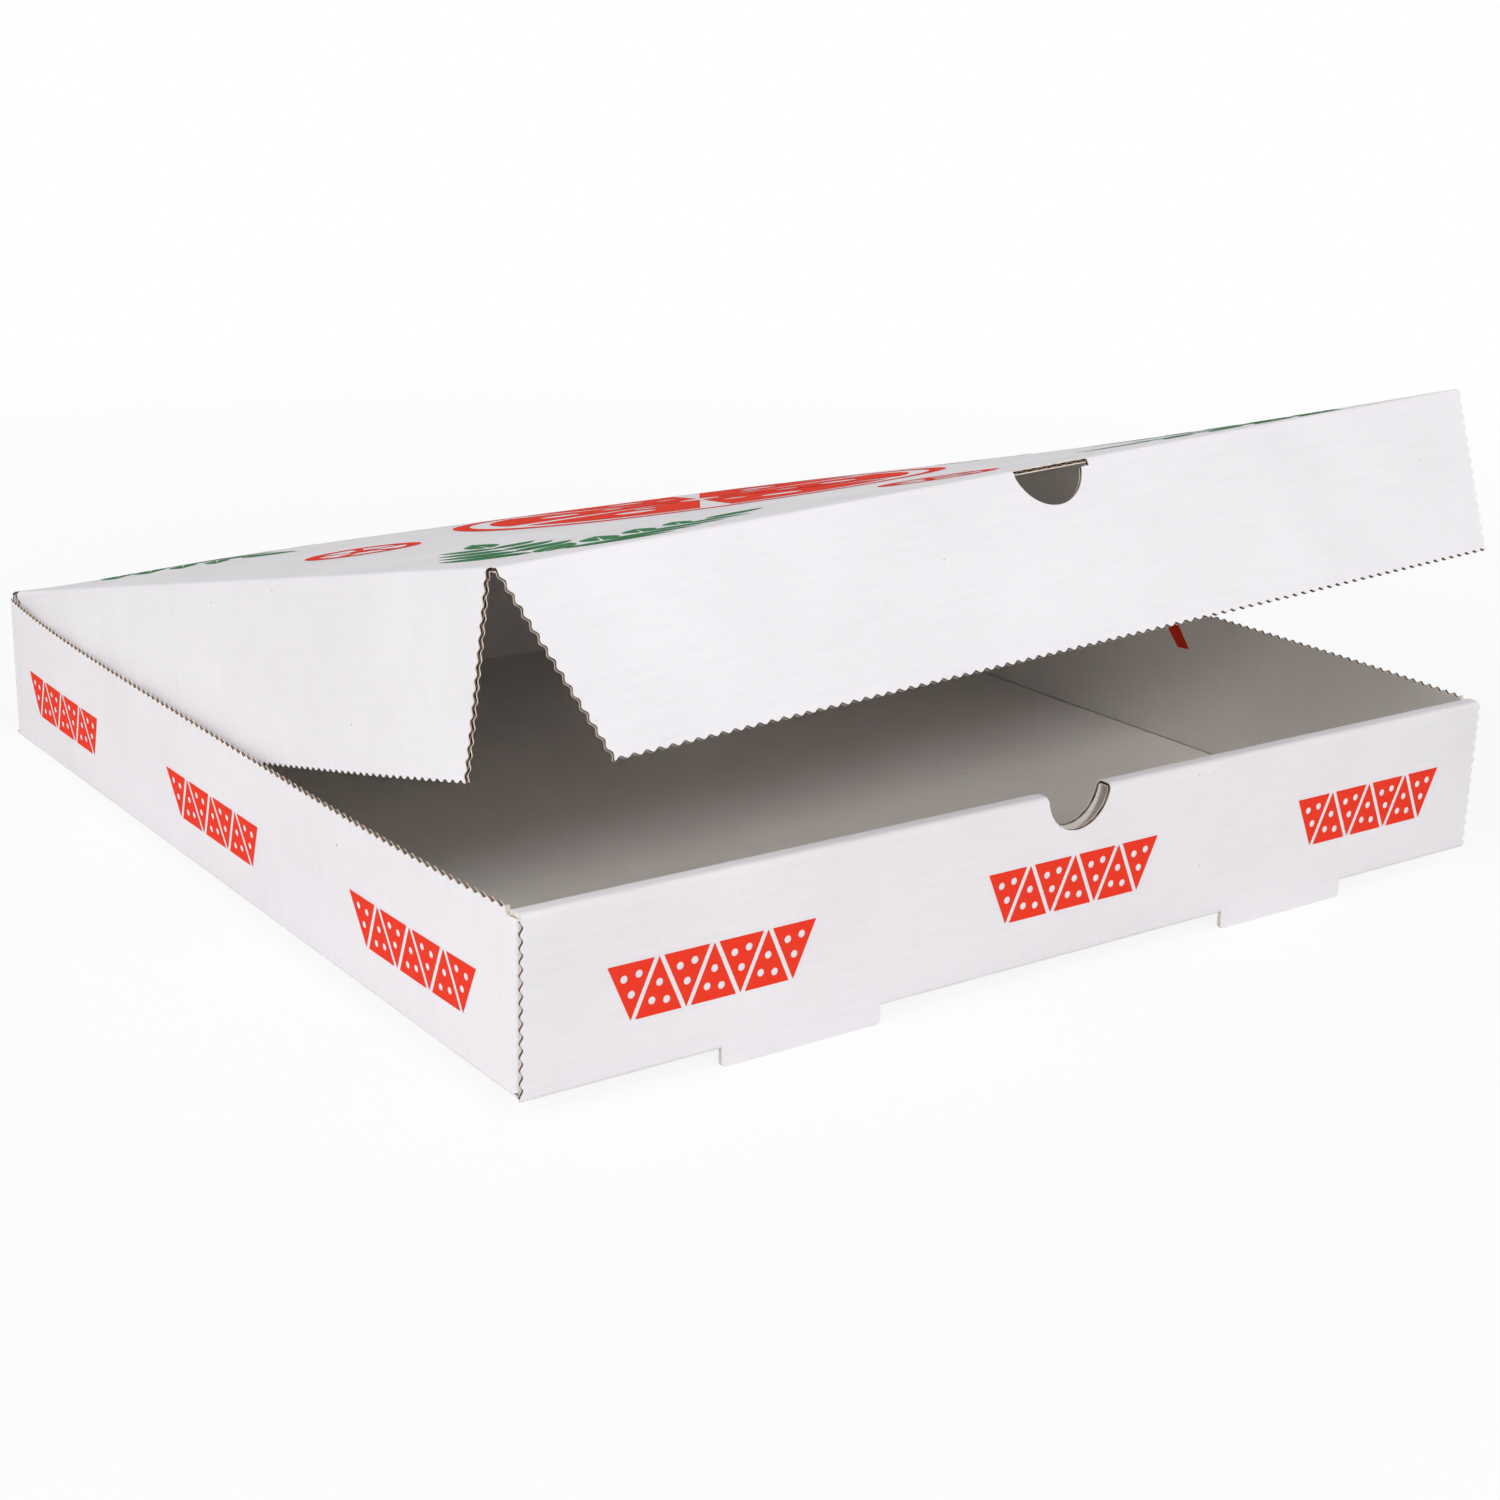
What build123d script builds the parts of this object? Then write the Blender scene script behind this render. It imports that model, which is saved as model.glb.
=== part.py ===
"""Folding corrugated food box: a tray with a rolled front wall and a hinged lid with three tuck flaps."""
import math
import os

from build123d import *

os.makedirs("parts", exist_ok=True)

# Board and box, in millimetres
board = 1.6
half = board / 2
width = 320.0
depth = 320.0
height = 47.0
fold_r = 1.2
layer_gap = 0.5
edge_gap = 0.3
wave_pitch = 3.3
wave_depth = 0.8

# Each wall's fold laps onto the base and up to the wall's root
base_lap = 14.0
wall_root = 6.0
wall_low = 2.5

# Rolled front wall: outer board, hollow for a corner flap, inner board
hollow = board + 2 * layer_gap
roll_t = 2 * board + hollow
roll_r = 1.5
roll_leg = 8.0
front_y = -depth / 2 + half
inner_y = front_y + board + hollow
notch_r = 12.5
notch_shoulder_r = 3.0

# Front feet, the base slots they leave and the lock tabs in those slots
foot_x = 82.5
foot_w = 47.0
foot_drop = 4.3
foot_r = 1.2
tab_side_gap = 1.0

# Side walls pass under the ends of the roll
side_x = width / 2 - half
side_top = height - board - edge_gap
corner_flap = 45.0
corner_y = front_y + board + layer_gap
rear_flap_y = depth / 2 - board - layer_gap - half
flap_low = board + layer_gap
flap_high = side_top - wave_depth

# Lid: straight edges, left lower than right as the sheet has sprung
hinge_y = depth / 2 - half
hinge_z = height - half
hinge_gap = half + 0.25
lid_left = math.radians(13.2)
lid_right = math.radians(16.0)
lid_x = width / 2 - board - layer_gap - half
lid_len = 312.4
bead_r = half - 0.02

# Lid flaps
flap_depth = 44.2
front_swing = math.radians(16.2)
front_slant = 13.0
front_gap = half + edge_gap
hole_r = 11.5
side_slant = 18.0
side_rear_slant = 30.0
side_start = 16.0
side_set_back = 2.0
crease_r = 0.35
side_gap = half + crease_r + 0.25


def serrated(start, end):
    """Points of a wave-cut edge; the teeth are cut to the left of the way it runs."""
    run = end - start
    count = max(1, round(run.length / wave_pitch))
    step = run / (2 * count)
    inward = Vector(-run.Y, run.X, 0).normalized() * wave_depth
    return [start + step * i + inward * (i % 2) for i in range(2 * count + 1)]


# Tray: one folded sheet
with BuildPart() as tray:
    with BuildSketch(Plane.XY):
        Rectangle(width - base_lap, depth - base_lap)
    extrude(amount=board)

    # Bottom folds of the front and back walls
    for wall_y, lap_y in ((front_y, front_y + base_lap), (hinge_y, hinge_y - base_lap)):
        with BuildSketch(Plane.YZ):
            with BuildLine():
                FilletPolyline((lap_y, half), (wall_y, half), (wall_y, wall_root), radius=fold_r)
            trace(line_width=board)
        extrude(amount=width / 2 - wave_depth / 2, both=True)

    # Bottom folds of the side walls
    for side in (-1, 1):
        wall_x = side * side_x
        lap_x = side * (side_x - base_lap)
        with BuildSketch(Plane.XZ):
            with BuildLine():
                FilletPolyline((lap_x, half), (wall_x, half), (wall_x, wall_root), radius=fold_r)
            trace(line_width=board)
        extrude(amount=-corner_y - fold_r, both=True)

    # Slots that the feet leave in the base
    slot_back = inner_y + half + edge_gap
    slot_mid = (slot_back - depth / 2) / 2
    with BuildSketch(Plane.XY):
        with Locations((-foot_x, slot_mid), (foot_x, slot_mid)):
            Rectangle(foot_w, slot_back + depth / 2)
    extrude(amount=wall_root, mode=Mode.SUBTRACT)

    # Outer front wall with wave-cut ends, and the two feet below it
    wall_high = height - half - roll_r
    with BuildSketch(Plane.XZ.offset(depth / 2 - board)):
        with BuildLine():
            front_left = serrated(Vector(-width / 2, wall_high), Vector(-width / 2, wall_low))
            front_right = serrated(Vector(width / 2, wall_low), Vector(width / 2, wall_high))
            Polyline(*front_left, *front_right, close=True)
        make_face()
        with Locations((-foot_x, -foot_drop), (foot_x, -foot_drop)):
            RectangleRounded(foot_w, foot_drop + wall_root, foot_r, align=(Align.CENTER, Align.MIN))
            Rectangle(foot_w - 2 * foot_r, foot_drop + wall_root, align=(Align.CENTER, Align.MIN))
        with Locations((-foot_x, 0), (foot_x, 0)):
            Rectangle(foot_w, wall_root, align=(Align.CENTER, Align.MIN))
    extrude(amount=board)

    # Roll over the top
    with BuildSketch(Plane.YZ):
        with BuildLine():
            FilletPolyline(
                (front_y, height - roll_leg),
                (front_y, hinge_z),
                (inner_y, hinge_z),
                (inner_y, height - roll_leg),
                radius=roll_r,
            )
        trace(line_width=board)
    extrude(amount=width / 2 - wave_depth / 2, both=True)

    # Room for the side walls under the ends of the roll
    inner_w = 2 * (lid_x + half)
    for side in (-1, 1):
        with BuildSketch(Plane.XY.offset(height - roll_leg)):
            with Locations((side * (inner_w + width) / 4, front_y + half + roll_t / 2)):
                Rectangle((width - inner_w) / 2, roll_t)
        extrude(amount=side_top + edge_gap - height + roll_leg, mode=Mode.SUBTRACT)

    # Inner front wall with its lock tabs
    with BuildSketch(Plane.XZ.offset(-inner_y - half)):
        with Locations((0, board + edge_gap)):
            Rectangle(inner_w, height - roll_leg - board, align=(Align.CENTER, Align.MIN))
        with Locations((-foot_x, edge_gap), (foot_x, edge_gap)):
            Rectangle(foot_w - 2 * tab_side_gap, wall_root, align=(Align.CENTER, Align.MIN))
    extrude(amount=board)

    # Finger notch through both boards of the rolled wall
    with BuildSketch(Plane.XZ.offset(depth / 2 - roll_t)) as notch:
        with Locations((0, height)):
            Rectangle(4 * notch_r, notch_r, align=(Align.CENTER, Align.MIN))
            Circle(notch_r)
        fillet(notch.vertices().group_by(Axis.Y)[0], radius=notch_shoulder_r)
    extrude(amount=roll_t, mode=Mode.SUBTRACT)

    # Side walls with corner flaps at both ends, and wave-cut tops
    for side in (-1, 1):
        flap_end = side * (side_x - corner_flap)
        with BuildSketch(Plane.XY.offset(flap_low)):
            with BuildLine():
                FilletPolyline(
                    (flap_end, corner_y),
                    (side * side_x, corner_y),
                    (side * side_x, rear_flap_y),
                    (flap_end, rear_flap_y),
                    radius=fold_r,
                )
            trace(line_width=board)
        extrude(amount=flap_high - flap_low)
        with BuildSketch(Plane.YZ.offset(side * side_x - half)):
            with BuildLine():
                front_end = corner_y + fold_r
                rear_end = rear_flap_y - fold_r
                top = serrated(Vector(rear_end, side_top), Vector(front_end, side_top))
                Polyline(*top, (front_end, wall_low), (rear_end, wall_low), close=True)
            make_face()
        extrude(amount=board)

    # Back wall with wave-cut ends
    with BuildSketch(Plane.XZ.offset(-depth / 2)):
        with BuildLine():
            back_left = serrated(Vector(-width / 2, hinge_z - hinge_gap), Vector(-width / 2, wall_low))
            back_right = serrated(Vector(width / 2, wall_low), Vector(width / 2, hinge_z - hinge_gap))
            Polyline(*back_left, *back_right, close=True)
        make_face()
    extrude(amount=board)
tray.part.label = "tray"

# Directions of the lid: along each side edge, across the front, and square to it
along_l = Vector(0, -math.cos(lid_left), math.sin(lid_left))
along_r = Vector(0, -math.cos(lid_right), math.sin(lid_right))
rear_l = Vector(-lid_x, hinge_y, hinge_z)
rear_r = Vector(lid_x, hinge_y, hinge_z)
front_l = rear_l + along_l * lid_len
front_r = rear_r + along_r * lid_len
rear_mid = (rear_l + rear_r) / 2
front_mid = (front_l + front_r) / 2
across = (front_r - front_l).normalized()
front_w = (front_r - front_l).length
along = along_l + along_r
along = (along - across * along.dot(across)).normalized()
upward = along.cross(across)

# Lid panel: a sheet with round side folds, from a level rear fold to a tilted front fold
with BuildPart() as lid_panel:
    for middle, sheet_w, way in ((rear_mid, 2 * lid_x, Vector(1, 0, 0)), (front_mid, front_w, across)):
        with BuildSketch(Plane(origin=middle, x_dir=way, z_dir=along)):
            SlotOverall(sheet_w + board, board)
    loft(ruled=True)

    # Rounded rear fold on the hinge axis
    with BuildSketch(Plane(origin=rear_l, x_dir=(0, 1, 0), z_dir=(1, 0, 0))):
        Circle(bead_r)
    extrude(amount=2 * lid_x)

    # Rounded front fold, broken where the finger hole meets it
    for corner, way in ((front_l, across), (front_r, -across)):
        with BuildSketch(Plane(origin=corner, x_dir=along, z_dir=way)):
            Circle(bead_r)
        extrude(amount=front_w / 2 - hole_r)
lid_panel.part.label = "lid_panel"

# Front flap, swung outward from square
hang = along * math.sin(front_swing) - upward * math.cos(front_swing)
with BuildPart() as lid_front_flap:
    with BuildSketch(Plane(origin=front_mid, x_dir=across, z_dir=across.cross(hang))):
        with BuildLine():
            low_l = Vector(front_slant - front_w / 2, flap_depth)
            low_r = Vector(front_w / 2 - front_slant, flap_depth)
            rise_l = serrated(low_l, Vector(-front_w / 2, front_gap))
            rise_r = serrated(Vector(front_w / 2, front_gap), low_r)
            low_edge = serrated(low_r, low_l)
            Polyline(*rise_l, *rise_r, *low_edge[1:-1], close=True)
        make_face()
        Circle(hole_r, mode=Mode.SUBTRACT)
    extrude(amount=half, both=True)
lid_front_flap.part.label = "lid_front_flap"

# Side flaps, hanging inside the side walls, with a crease bead along the inner side of each fold
side_flaps = []
for side, way in ((-1, along_l), (1, along_r)):
    below = Vector(0, -way.Z, way.Y)
    fold = Vector(side * lid_x, hinge_y, hinge_z)
    crease = fold - Vector(side * half, 0, 0) + way * side_start + below * side_gap
    fold_end = lid_len - side_set_back
    with BuildPart() as side_flap:
        with BuildSketch(Plane(origin=fold, x_dir=way, z_dir=(1, 0, 0))):
            with BuildLine():
                top_back = Vector(side_start, side_gap)
                top_front = Vector(fold_end, side_gap)
                low_front = Vector(fold_end - side_slant, flap_depth)
                low_back = Vector(side_start + side_rear_slant, flap_depth)
                edge_front = serrated(top_front, low_front)
                edge_low = serrated(low_front, low_back)
                edge_back = serrated(low_back, top_back)
                Polyline(*edge_front, *edge_low[1:-1], *edge_back, close=True)
            make_face()
        extrude(amount=half, both=True)
        with BuildSketch(Plane(origin=crease, x_dir=(1, 0, 0), z_dir=way)):
            Circle(crease_r)
        extrude(amount=fold_end - side_start)
    side_flaps.append(side_flap.part)
lid_left_flap, lid_right_flap = side_flaps
lid_left_flap.label = "lid_left_flap"
lid_right_flap.label = "lid_right_flap"

export_step(tray.part, "parts/tray.step")
export_step(lid_panel.part, "parts/lid_panel.step")
export_step(lid_front_flap.part, "parts/lid_front_flap.step")
export_step(lid_left_flap, "parts/lid_left_flap.step")
export_step(lid_right_flap, "parts/lid_right_flap.step")
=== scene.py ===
"""Looks of the folding food box: fluted board, wave-cut edges, rounded creases and a two-colour print."""
import math

import bpy
import numpy as np
from mathutils import Matrix, Vector
from mathutils.geometry import delaunay_2d_cdt


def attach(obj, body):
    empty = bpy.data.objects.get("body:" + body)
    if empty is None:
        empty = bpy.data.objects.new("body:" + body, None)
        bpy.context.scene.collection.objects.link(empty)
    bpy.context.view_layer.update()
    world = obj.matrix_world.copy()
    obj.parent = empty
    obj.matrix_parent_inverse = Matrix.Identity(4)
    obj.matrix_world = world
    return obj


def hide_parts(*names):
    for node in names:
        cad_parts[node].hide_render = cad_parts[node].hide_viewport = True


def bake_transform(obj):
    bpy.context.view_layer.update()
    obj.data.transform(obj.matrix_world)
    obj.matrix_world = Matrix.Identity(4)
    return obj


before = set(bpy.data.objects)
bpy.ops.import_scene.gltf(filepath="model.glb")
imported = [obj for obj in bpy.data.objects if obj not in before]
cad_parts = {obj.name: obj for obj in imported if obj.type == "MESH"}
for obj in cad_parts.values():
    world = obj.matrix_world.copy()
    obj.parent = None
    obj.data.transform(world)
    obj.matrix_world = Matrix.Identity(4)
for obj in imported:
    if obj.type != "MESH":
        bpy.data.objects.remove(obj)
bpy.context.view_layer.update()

MM = 0.001

# Board, in millimetres: half places the panels, as in the solids, and skin is half of the board that is seen
half = 0.8
skin = 0.62
liner = 0.26
medium = 0.09
recess = 0.55
flute_pitch = 3.3
wave_pitch = 3.3
wave_depth = 0.8
print_lift = 0.08

# Fineness of the meshes
wave_samples = 10
least_arc = 4
notch_steps = 70
cell = 8.0
rim_clear = wave_depth * 0.6
print_clear = 0.2
bend_steps = 6
bend_stub = 0.01
crease_points = 9
least_area = 0.002
probe = 0.01
batch = 200
weld = 1e-6
not_zero = 1e-12

# Box, as in the solids
width = 320.0
depth = 320.0
height = 47.0
fold_r = 0.9

# Rolled front wall; its top stands a little lower than in the solids, as it is pressed down
roll_top = 45.1
roll_end = width / 2 - wave_depth / 2
roll_columns = (-158.75, -157.0, 157.0, 158.75)
front_y = -depth / 2 + half
inner_y = -155.0
inner_half = 157.9
inner_low = 1.9
notch_mid = 3.15
notch_r = 10.6
notch_shoulder = 2.0

# Feet, the slots that they leave in the base and the lock tabs in those slots
foot_x = 82.5
foot_half = 23.5
foot_near = foot_x - foot_half
foot_far = foot_x + foot_half
foot_drop = 4.3
foot_r = 1.2
slot_back = -153.9
tab_half = 22.5
tab_low = 0.3

# Side walls, which bow out by different lengths, with their corner flaps; and the back wall
side_x = width / 2 - half
side_top = 45.1
wall_bow = {-1: 4.0, 1: 5.0}
bow_power = 4
corner_flap = 45.0
corner_y = -157.1
flap_low = 2.1
flap_high = 44.3
tuck_high = 43.2
tuck_end = 2.4
tuck_slant = 0.6
side_foot_reach = 157.9
side_groove = 0.85
back_end = 158.7

# Lid, as in the solids, with the swell that the sprung sheet shows; the scale brings the swell's profile to 1
hinge_y = depth / 2 - half
hinge_z = height - half
lid_left = math.radians(13.2)
lid_right = math.radians(16.0)
lid_x = 157.1
lid_len = 312.4
lid_swell = 4.6
swell_power = 4
swell_scale = 9.48
lid_let_down = math.radians(4.5)
crease_leg = 1.6

# Lid's front flap with its finger hole and the short slit beside it
front_swing = math.radians(16.2)
front_slant = 13.0
front_flap_low_left = 45.6
front_flap_low_right = 46.2
hole_r = 11.5
hole_mid = -0.6
hole_rise = 1.5
hole_top = math.asin((crease_leg + hole_rise) / hole_r)
hole_left = hole_mid - hole_r * math.cos(hole_top)
hole_right = hole_mid + hole_r * math.cos(hole_top)
hole_cut = 13.0

# Lid's side flaps, which lean out as far as the side walls let them
side_flap_depth = 46.4
side_flap_lean = 4.2
side_flap_bend = 6.0
side_flap_room = 0.65
side_start = 3.0
side_end = 308.4
side_slant = 17.0
side_rear_low = 46.0

# Slots of every board mesh; the last holds the flute hollows at cut edges, coloured dark as painted shade
OUTER, INNER, EDGE, MEDIUM, HOLLOW_SHADE = range(5)

# What a panel's edge is: it goes on as the next panel, or is cut open, or cut and pressed shut
JOIN, CUT, CRUSHED = range(3)


def unit(v):
    return v / np.linalg.norm(v, axis=-1, keepdims=True)


# Directions of the lid
along_l = np.array([0, -math.cos(lid_left), math.sin(lid_left)])
along_r = np.array([0, -math.cos(lid_right), math.sin(lid_right)])
rear_l = np.array([-lid_x, hinge_y, hinge_z])
rear_r = np.array([lid_x, hinge_y, hinge_z])
front_l = rear_l + along_l * lid_len
front_r = rear_r + along_r * lid_len
front_mid = (front_l + front_r) / 2
front_w = float(np.linalg.norm(front_r - front_l))
across = unit(front_r - front_l)
along = along_l + along_r
along = unit(along - across * (along @ across))
upward = np.cross(along, across)
hang = along * math.sin(front_swing) - upward * math.cos(front_swing)
front_face = np.cross(hang, across)


class Board:
    """Collects folded panels into one mesh, with each point's place in the flat blank as its UV."""

    def __init__(self):
        self.points, self.flat, self.faces, self.slots, self.smooth = [], [], [], [], []
        self.count = 0

    def add(self, points, flat, faces, slot, smooth=True):
        self.points.append(points)
        self.flat.append(flat)
        self.faces += (np.asarray(faces) + self.count).tolist()
        self.slots += [slot] * len(faces)
        self.smooth += [smooth] * len(faces)
        self.count += len(points)

    def piece(self, name, materials):
        mesh = bpy.data.meshes.new(name)
        mesh.from_pydata((np.vstack(self.points) * MM).tolist(), [], self.faces)
        for material in materials:
            mesh.materials.append(material)
        mesh.polygons.foreach_set("material_index", self.slots)
        mesh.polygons.foreach_set("use_smooth", self.smooth)
        corners = np.empty(len(mesh.loops), dtype=int)
        mesh.loops.foreach_get("vertex_index", corners)
        flat = (np.vstack(self.flat) * MM)[corners]
        mesh.uv_layers.new(name="blank").data.foreach_set("uv", flat.ravel())
        mesh.update()
        obj = bpy.data.objects.new(name, mesh)
        bpy.context.collection.objects.link(obj)
        return obj


# Outlines in the flat: runs of points, each with what the edge from it is

def run(start, end, kind):
    """Points from start up to, not including, end. The kind is wave, cut, crushed or join, and waves dip to
    the left."""
    start, end = np.array(start, float), np.array(end, float)
    length = np.linalg.norm(end - start)
    waves = max(1, round(length / wave_pitch))
    count = max(1, round(length / cell)) if kind == "join" else waves * wave_samples
    t = np.arange(count) / count
    points = start + t[:, None] * (end - start)
    if kind == "wave":
        inward = np.array([start[1] - end[1], end[0] - start[0]]) / length
        dip = wave_depth / 2 * (1 - np.cos(2 * math.pi * waves * t))
        points = points + dip[:, None] * inward
    return points, np.full(count, {"join": JOIN, "crushed": CRUSHED}.get(kind, CUT))


def arc(centre, radius, start, end, kind=CUT):
    """A cut edge round part of a circle, from one angle up to another, in degrees."""
    count = max(least_arc, round(abs(math.radians(end - start)) * radius * wave_samples / wave_pitch))
    angle = np.radians(start + (end - start) * np.arange(count) / count)
    points = np.array(centre) + radius * np.stack([np.cos(angle), np.sin(angle)], 1)
    return points, np.full(count, kind)


def loop(*runs):
    return np.vstack([r[0] for r in runs]), np.concatenate([r[1] for r in runs])


def chain(points, kinds):
    """A closed outline through corner points, with the kind of each edge."""
    return loop(*[run(points[i], points[(i + 1) % len(points)], kinds[i]) for i in range(len(points))])


def is_inside(points, outline):
    """Even-odd test of points against one outline."""
    inside = np.zeros(len(points), bool)
    for (x0, y0), (x1, y1) in zip(outline, np.roll(outline, -1, 0)):
        spans = (y0 > points[:, 1]) != (y1 > points[:, 1])
        if spans.any():
            inside ^= spans & (points[:, 0] < x0 + (points[:, 1] - y0) * (x1 - x0) / (y1 - y0 + not_zero))
    return inside


def fill(outlines, columns, rows, clear):
    """Triangles of an outline with holes, with inner points where the columns and rows cross."""
    rim = np.vstack(outlines)
    edges, first = [], 0
    for outline in outlines:
        n = len(outline)
        edges += [(first + i, first + (i + 1) % n) for i in range(n)]
        first += n
    grid = np.stack(np.meshgrid(columns, rows), -1).reshape(-1, 2)
    if len(grid):
        gap = np.concatenate([
            np.sqrt(((part[:, None] - rim[None]) ** 2).sum(-1)).min(1)
            for part in np.array_split(grid, len(grid) // batch + 1) if len(part)
        ])
        grid = grid[gap > clear]
    points = np.vstack([rim, grid])
    _, _, faces, origin, _, _ = delaunay_2d_cdt([Vector(p) for p in points], edges, [], 1, weld)
    faces = np.array([[origin[i][0] for i in face] for face in faces])
    corner = points[faces]
    middle = corner.mean(1)
    kept = np.abs(np.cross(corner[:, 1] - corner[:, 0], corner[:, 2] - corner[:, 0])) > least_area
    kept &= is_inside(middle, outlines[0])
    for hole in outlines[1:]:
        kept &= ~is_inside(middle, hole)
    return points, faces[kept]


def spread(low, high, step):
    return np.linspace(low, high, max(2, round((high - low) / step) + 1))


def lay(place, flat, lift):
    return place(flat[:, 0], flat[:, 1], np.broadcast_to(lift, len(flat)).astype(float))


def is_mirrored(place, flat):
    """Whether a panel's placing turns its faces over."""
    o, a, b = flat[0], flat[0] + (probe, 0), flat[0] + (0, probe)
    p = lay(place, np.array([o, a, b]), 0)
    out = lay(place, np.array([o]), probe)[0] - p[0]
    return np.cross(p[1] - p[0], p[2] - p[0]) @ out < 0


def add_panel(board, loops, place, flutes, rows=None, columns=None):
    """One board panel: two liners, and at its cut edges the liners' thickness and the wavy medium between
    them. flutes is 0 where they run along the first flat coordinate and 1 where they run along the second."""
    outlines = [points for points, _ in loops]
    low, high = outlines[0].min(0), outlines[0].max(0)
    columns = spread(low[0], high[0], cell) if columns is None else columns
    rows = spread(low[1], high[1], cell) if rows is None else rows
    flat, faces = fill(outlines, columns, rows, rim_clear)
    turned = is_mirrored(place, flat)
    blank = flat if flutes == 0 else flat[:, ::-1]
    up = faces[:, ::-1] if turned else faces
    board.add(lay(place, flat, skin), blank, up, OUTER)
    board.add(lay(place, flat, -skin), blank, up[:, ::-1], INNER)
    for points, cut in loops:
        add_rim(board, points, cut, place, flutes, turned)


def add_rim(board, points, cut, place, flutes, turned):
    """The cut edges of a panel: liner edges, the flute hollows between them in painted shade and the end of
    the fluted medium, or one plain strip where the board is pressed shut."""
    n = len(points)
    ahead = unit(np.roll(points, -1, 0) - points)
    inward = np.stack([-ahead[:, 1], ahead[:, 0]], 1)
    inset = points + unit(inward + np.roll(inward, 1, 0)) * recess
    crest = skin - liner - medium
    rise = crest * np.sin(2 * math.pi * points[:, 1 - flutes] / flute_pitch)
    rise_in = crest * np.sin(2 * math.pi * inset[:, 1 - flutes] / flute_pitch)
    inner = skin - liner
    # the three strips round the recess carry the flute hollows' dark colour, which is painted shade
    fluted = (
        (points, skin, points, inner, EDGE),
        (points, inner, inset, inner, HOLLOW_SHADE),
        (inset, inner, inset, -inner, HOLLOW_SHADE),
        (inset, -inner, points, -inner, HOLLOW_SHADE),
        (points, -inner, points, -skin, EDGE),
        (inset, rise_in + medium, points, rise + medium, MEDIUM),
        (points, rise + medium, points, rise - medium, MEDIUM),
        (points, rise - medium, inset, rise_in - medium, MEDIUM),
    )
    pressed = ((points, skin, points, -skin, EDGE),)
    for kind, strips in ((CUT, fluted), (CRUSHED, pressed)):
        a = np.flatnonzero(cut == kind)
        if not len(a):
            continue
        b = (a + 1) % n
        quads = np.stack([a + n, b + n, b, a], 1)
        if turned:
            quads = quads[:, ::-1]
        for top, top_lift, low, low_lift, slot in strips:
            flat = np.vstack([top, low])
            co = np.vstack([lay(place, top, top_lift), lay(place, low, low_lift)])
            board.add(co, flat if flutes == 0 else flat[:, ::-1], quads, slot)


def fold_path(corners, radius):
    """A line with rounded right-hand corners: a function that gives points and left-hand normals, its bends
    and its length."""
    corners = [np.array(c, float) for c in corners]
    segments, bends, length, start = [], [], 0.0, corners[0]
    for i in range(1, len(corners)):
        way = unit(corners[i] - corners[i - 1])
        left = np.array([-way[1], way[0]])
        if i == len(corners) - 1:
            segments.append((length, start, way, left, None))
            length += np.linalg.norm(corners[i] - start)
            continue
        after = unit(corners[i + 1] - corners[i])
        turn = math.acos(np.clip(way @ after, -1, 1))
        stop = corners[i] - way * radius * math.tan(turn / 2)
        segments.append((length, start, way, left, None))
        length += np.linalg.norm(stop - start)
        segments.append((length, stop - left * radius, way, left, radius))
        bends.append((length, length + radius * turn))
        length += radius * turn
        start = corners[i] + after * radius * math.tan(turn / 2)

    def at(a):
        p, normal = np.zeros((len(a), 2)), np.zeros((len(a), 2))
        for k, (begin, origin, way, left, r) in enumerate(segments):
            last = segments[k + 1][0] if k + 1 < len(segments) else np.inf
            on = (a >= (begin if k else -np.inf)) & (a < last)
            s = (a[on] - begin)[:, None]
            if r is None:
                p[on] = origin + way * s
                normal[on] = left
            else:
                normal[on] = left * np.cos(s / r) + way * np.sin(s / r)
                p[on] = origin + normal[on] * r
        return p, normal

    return at, bends, length


def path_rows(bends, length):
    """Rows along a folded path, close together in its bends."""
    rows, start = [], 0.0
    for low, high in bends:
        rows += [spread(start, low, cell), np.linspace(low, high, bend_steps + 1)]
        start = high
    rows.append(spread(start, length, cell))
    return np.unique(np.round(np.concatenate(rows), 5))


# Places of the panels: flat coordinates and lift to the box

front_at, front_bends, front_length = fold_path(
    [(front_y + fold_r + bend_stub, half), (front_y, half), (front_y, roll_top - half),
     (inner_y, roll_top - half), (inner_y, tab_low)],
    fold_r,
)
back_at, back_bends, back_length = fold_path(
    [(front_y + fold_r + bend_stub, half), (front_y, half), (front_y, hinge_z - crease_leg)], fold_r
)
wall_start = front_bends[0][1]


def front_v(z):
    """Length along the front fold at a height on the outer board."""
    return wall_start + z - half - fold_r


def inner_v(z):
    """Length along the front fold at a height on the inner board."""
    return front_length - (z - tab_low)


def front_like(at, u, v, w):
    p, normal = at(v)
    return np.stack([u, p[:, 0] + normal[:, 0] * w, p[:, 1] + normal[:, 1] * w], 1)


def place_front(u, v, w):
    return front_like(front_at, u, v, w)


def place_back(u, v, w):
    return front_like(back_at, u, v, w) * (1, -1, 1)


def place_foot(u, v, w):
    return np.stack([u, front_y - w, v], 1)


def place_base(u, v, w):
    return np.stack([u, v, half - w], 1)


side_at, side_bends, side_length = fold_path(
    [(corner_flap - side_x, corner_y), (-side_x, corner_y),
     (-side_x, -corner_y), (corner_flap - side_x, -corner_y)],
    fold_r,
)
side_mid = side_length / 2


def bow_along(y):
    """How a side wall bows out between its ends, as a share of its bow."""
    return np.clip(1 - (y / (-corner_y - fold_r)) ** bow_power, 0, None)


def wall_lean(y, z):
    """How a side wall leans out towards its top and between its ends, as a share of its bow."""
    return bow_along(y) * np.clip(z / side_top, 0, None)


def place_side(side):
    def place(u, v, w):
        p, normal = side_at(u)
        x = p[:, 0] + normal[:, 0] * w - wall_bow[side] * wall_lean(p[:, 1], v)
        return np.stack([-side * x, p[:, 1] + normal[:, 1] * w, v], 1)
    return place


side_foot_at, side_foot_bends, side_foot_length = fold_path(
    [(fold_r + bend_stub - side_x, half), (-side_x, half), (-side_x, half + fold_r + bend_stub)], fold_r
)


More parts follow.
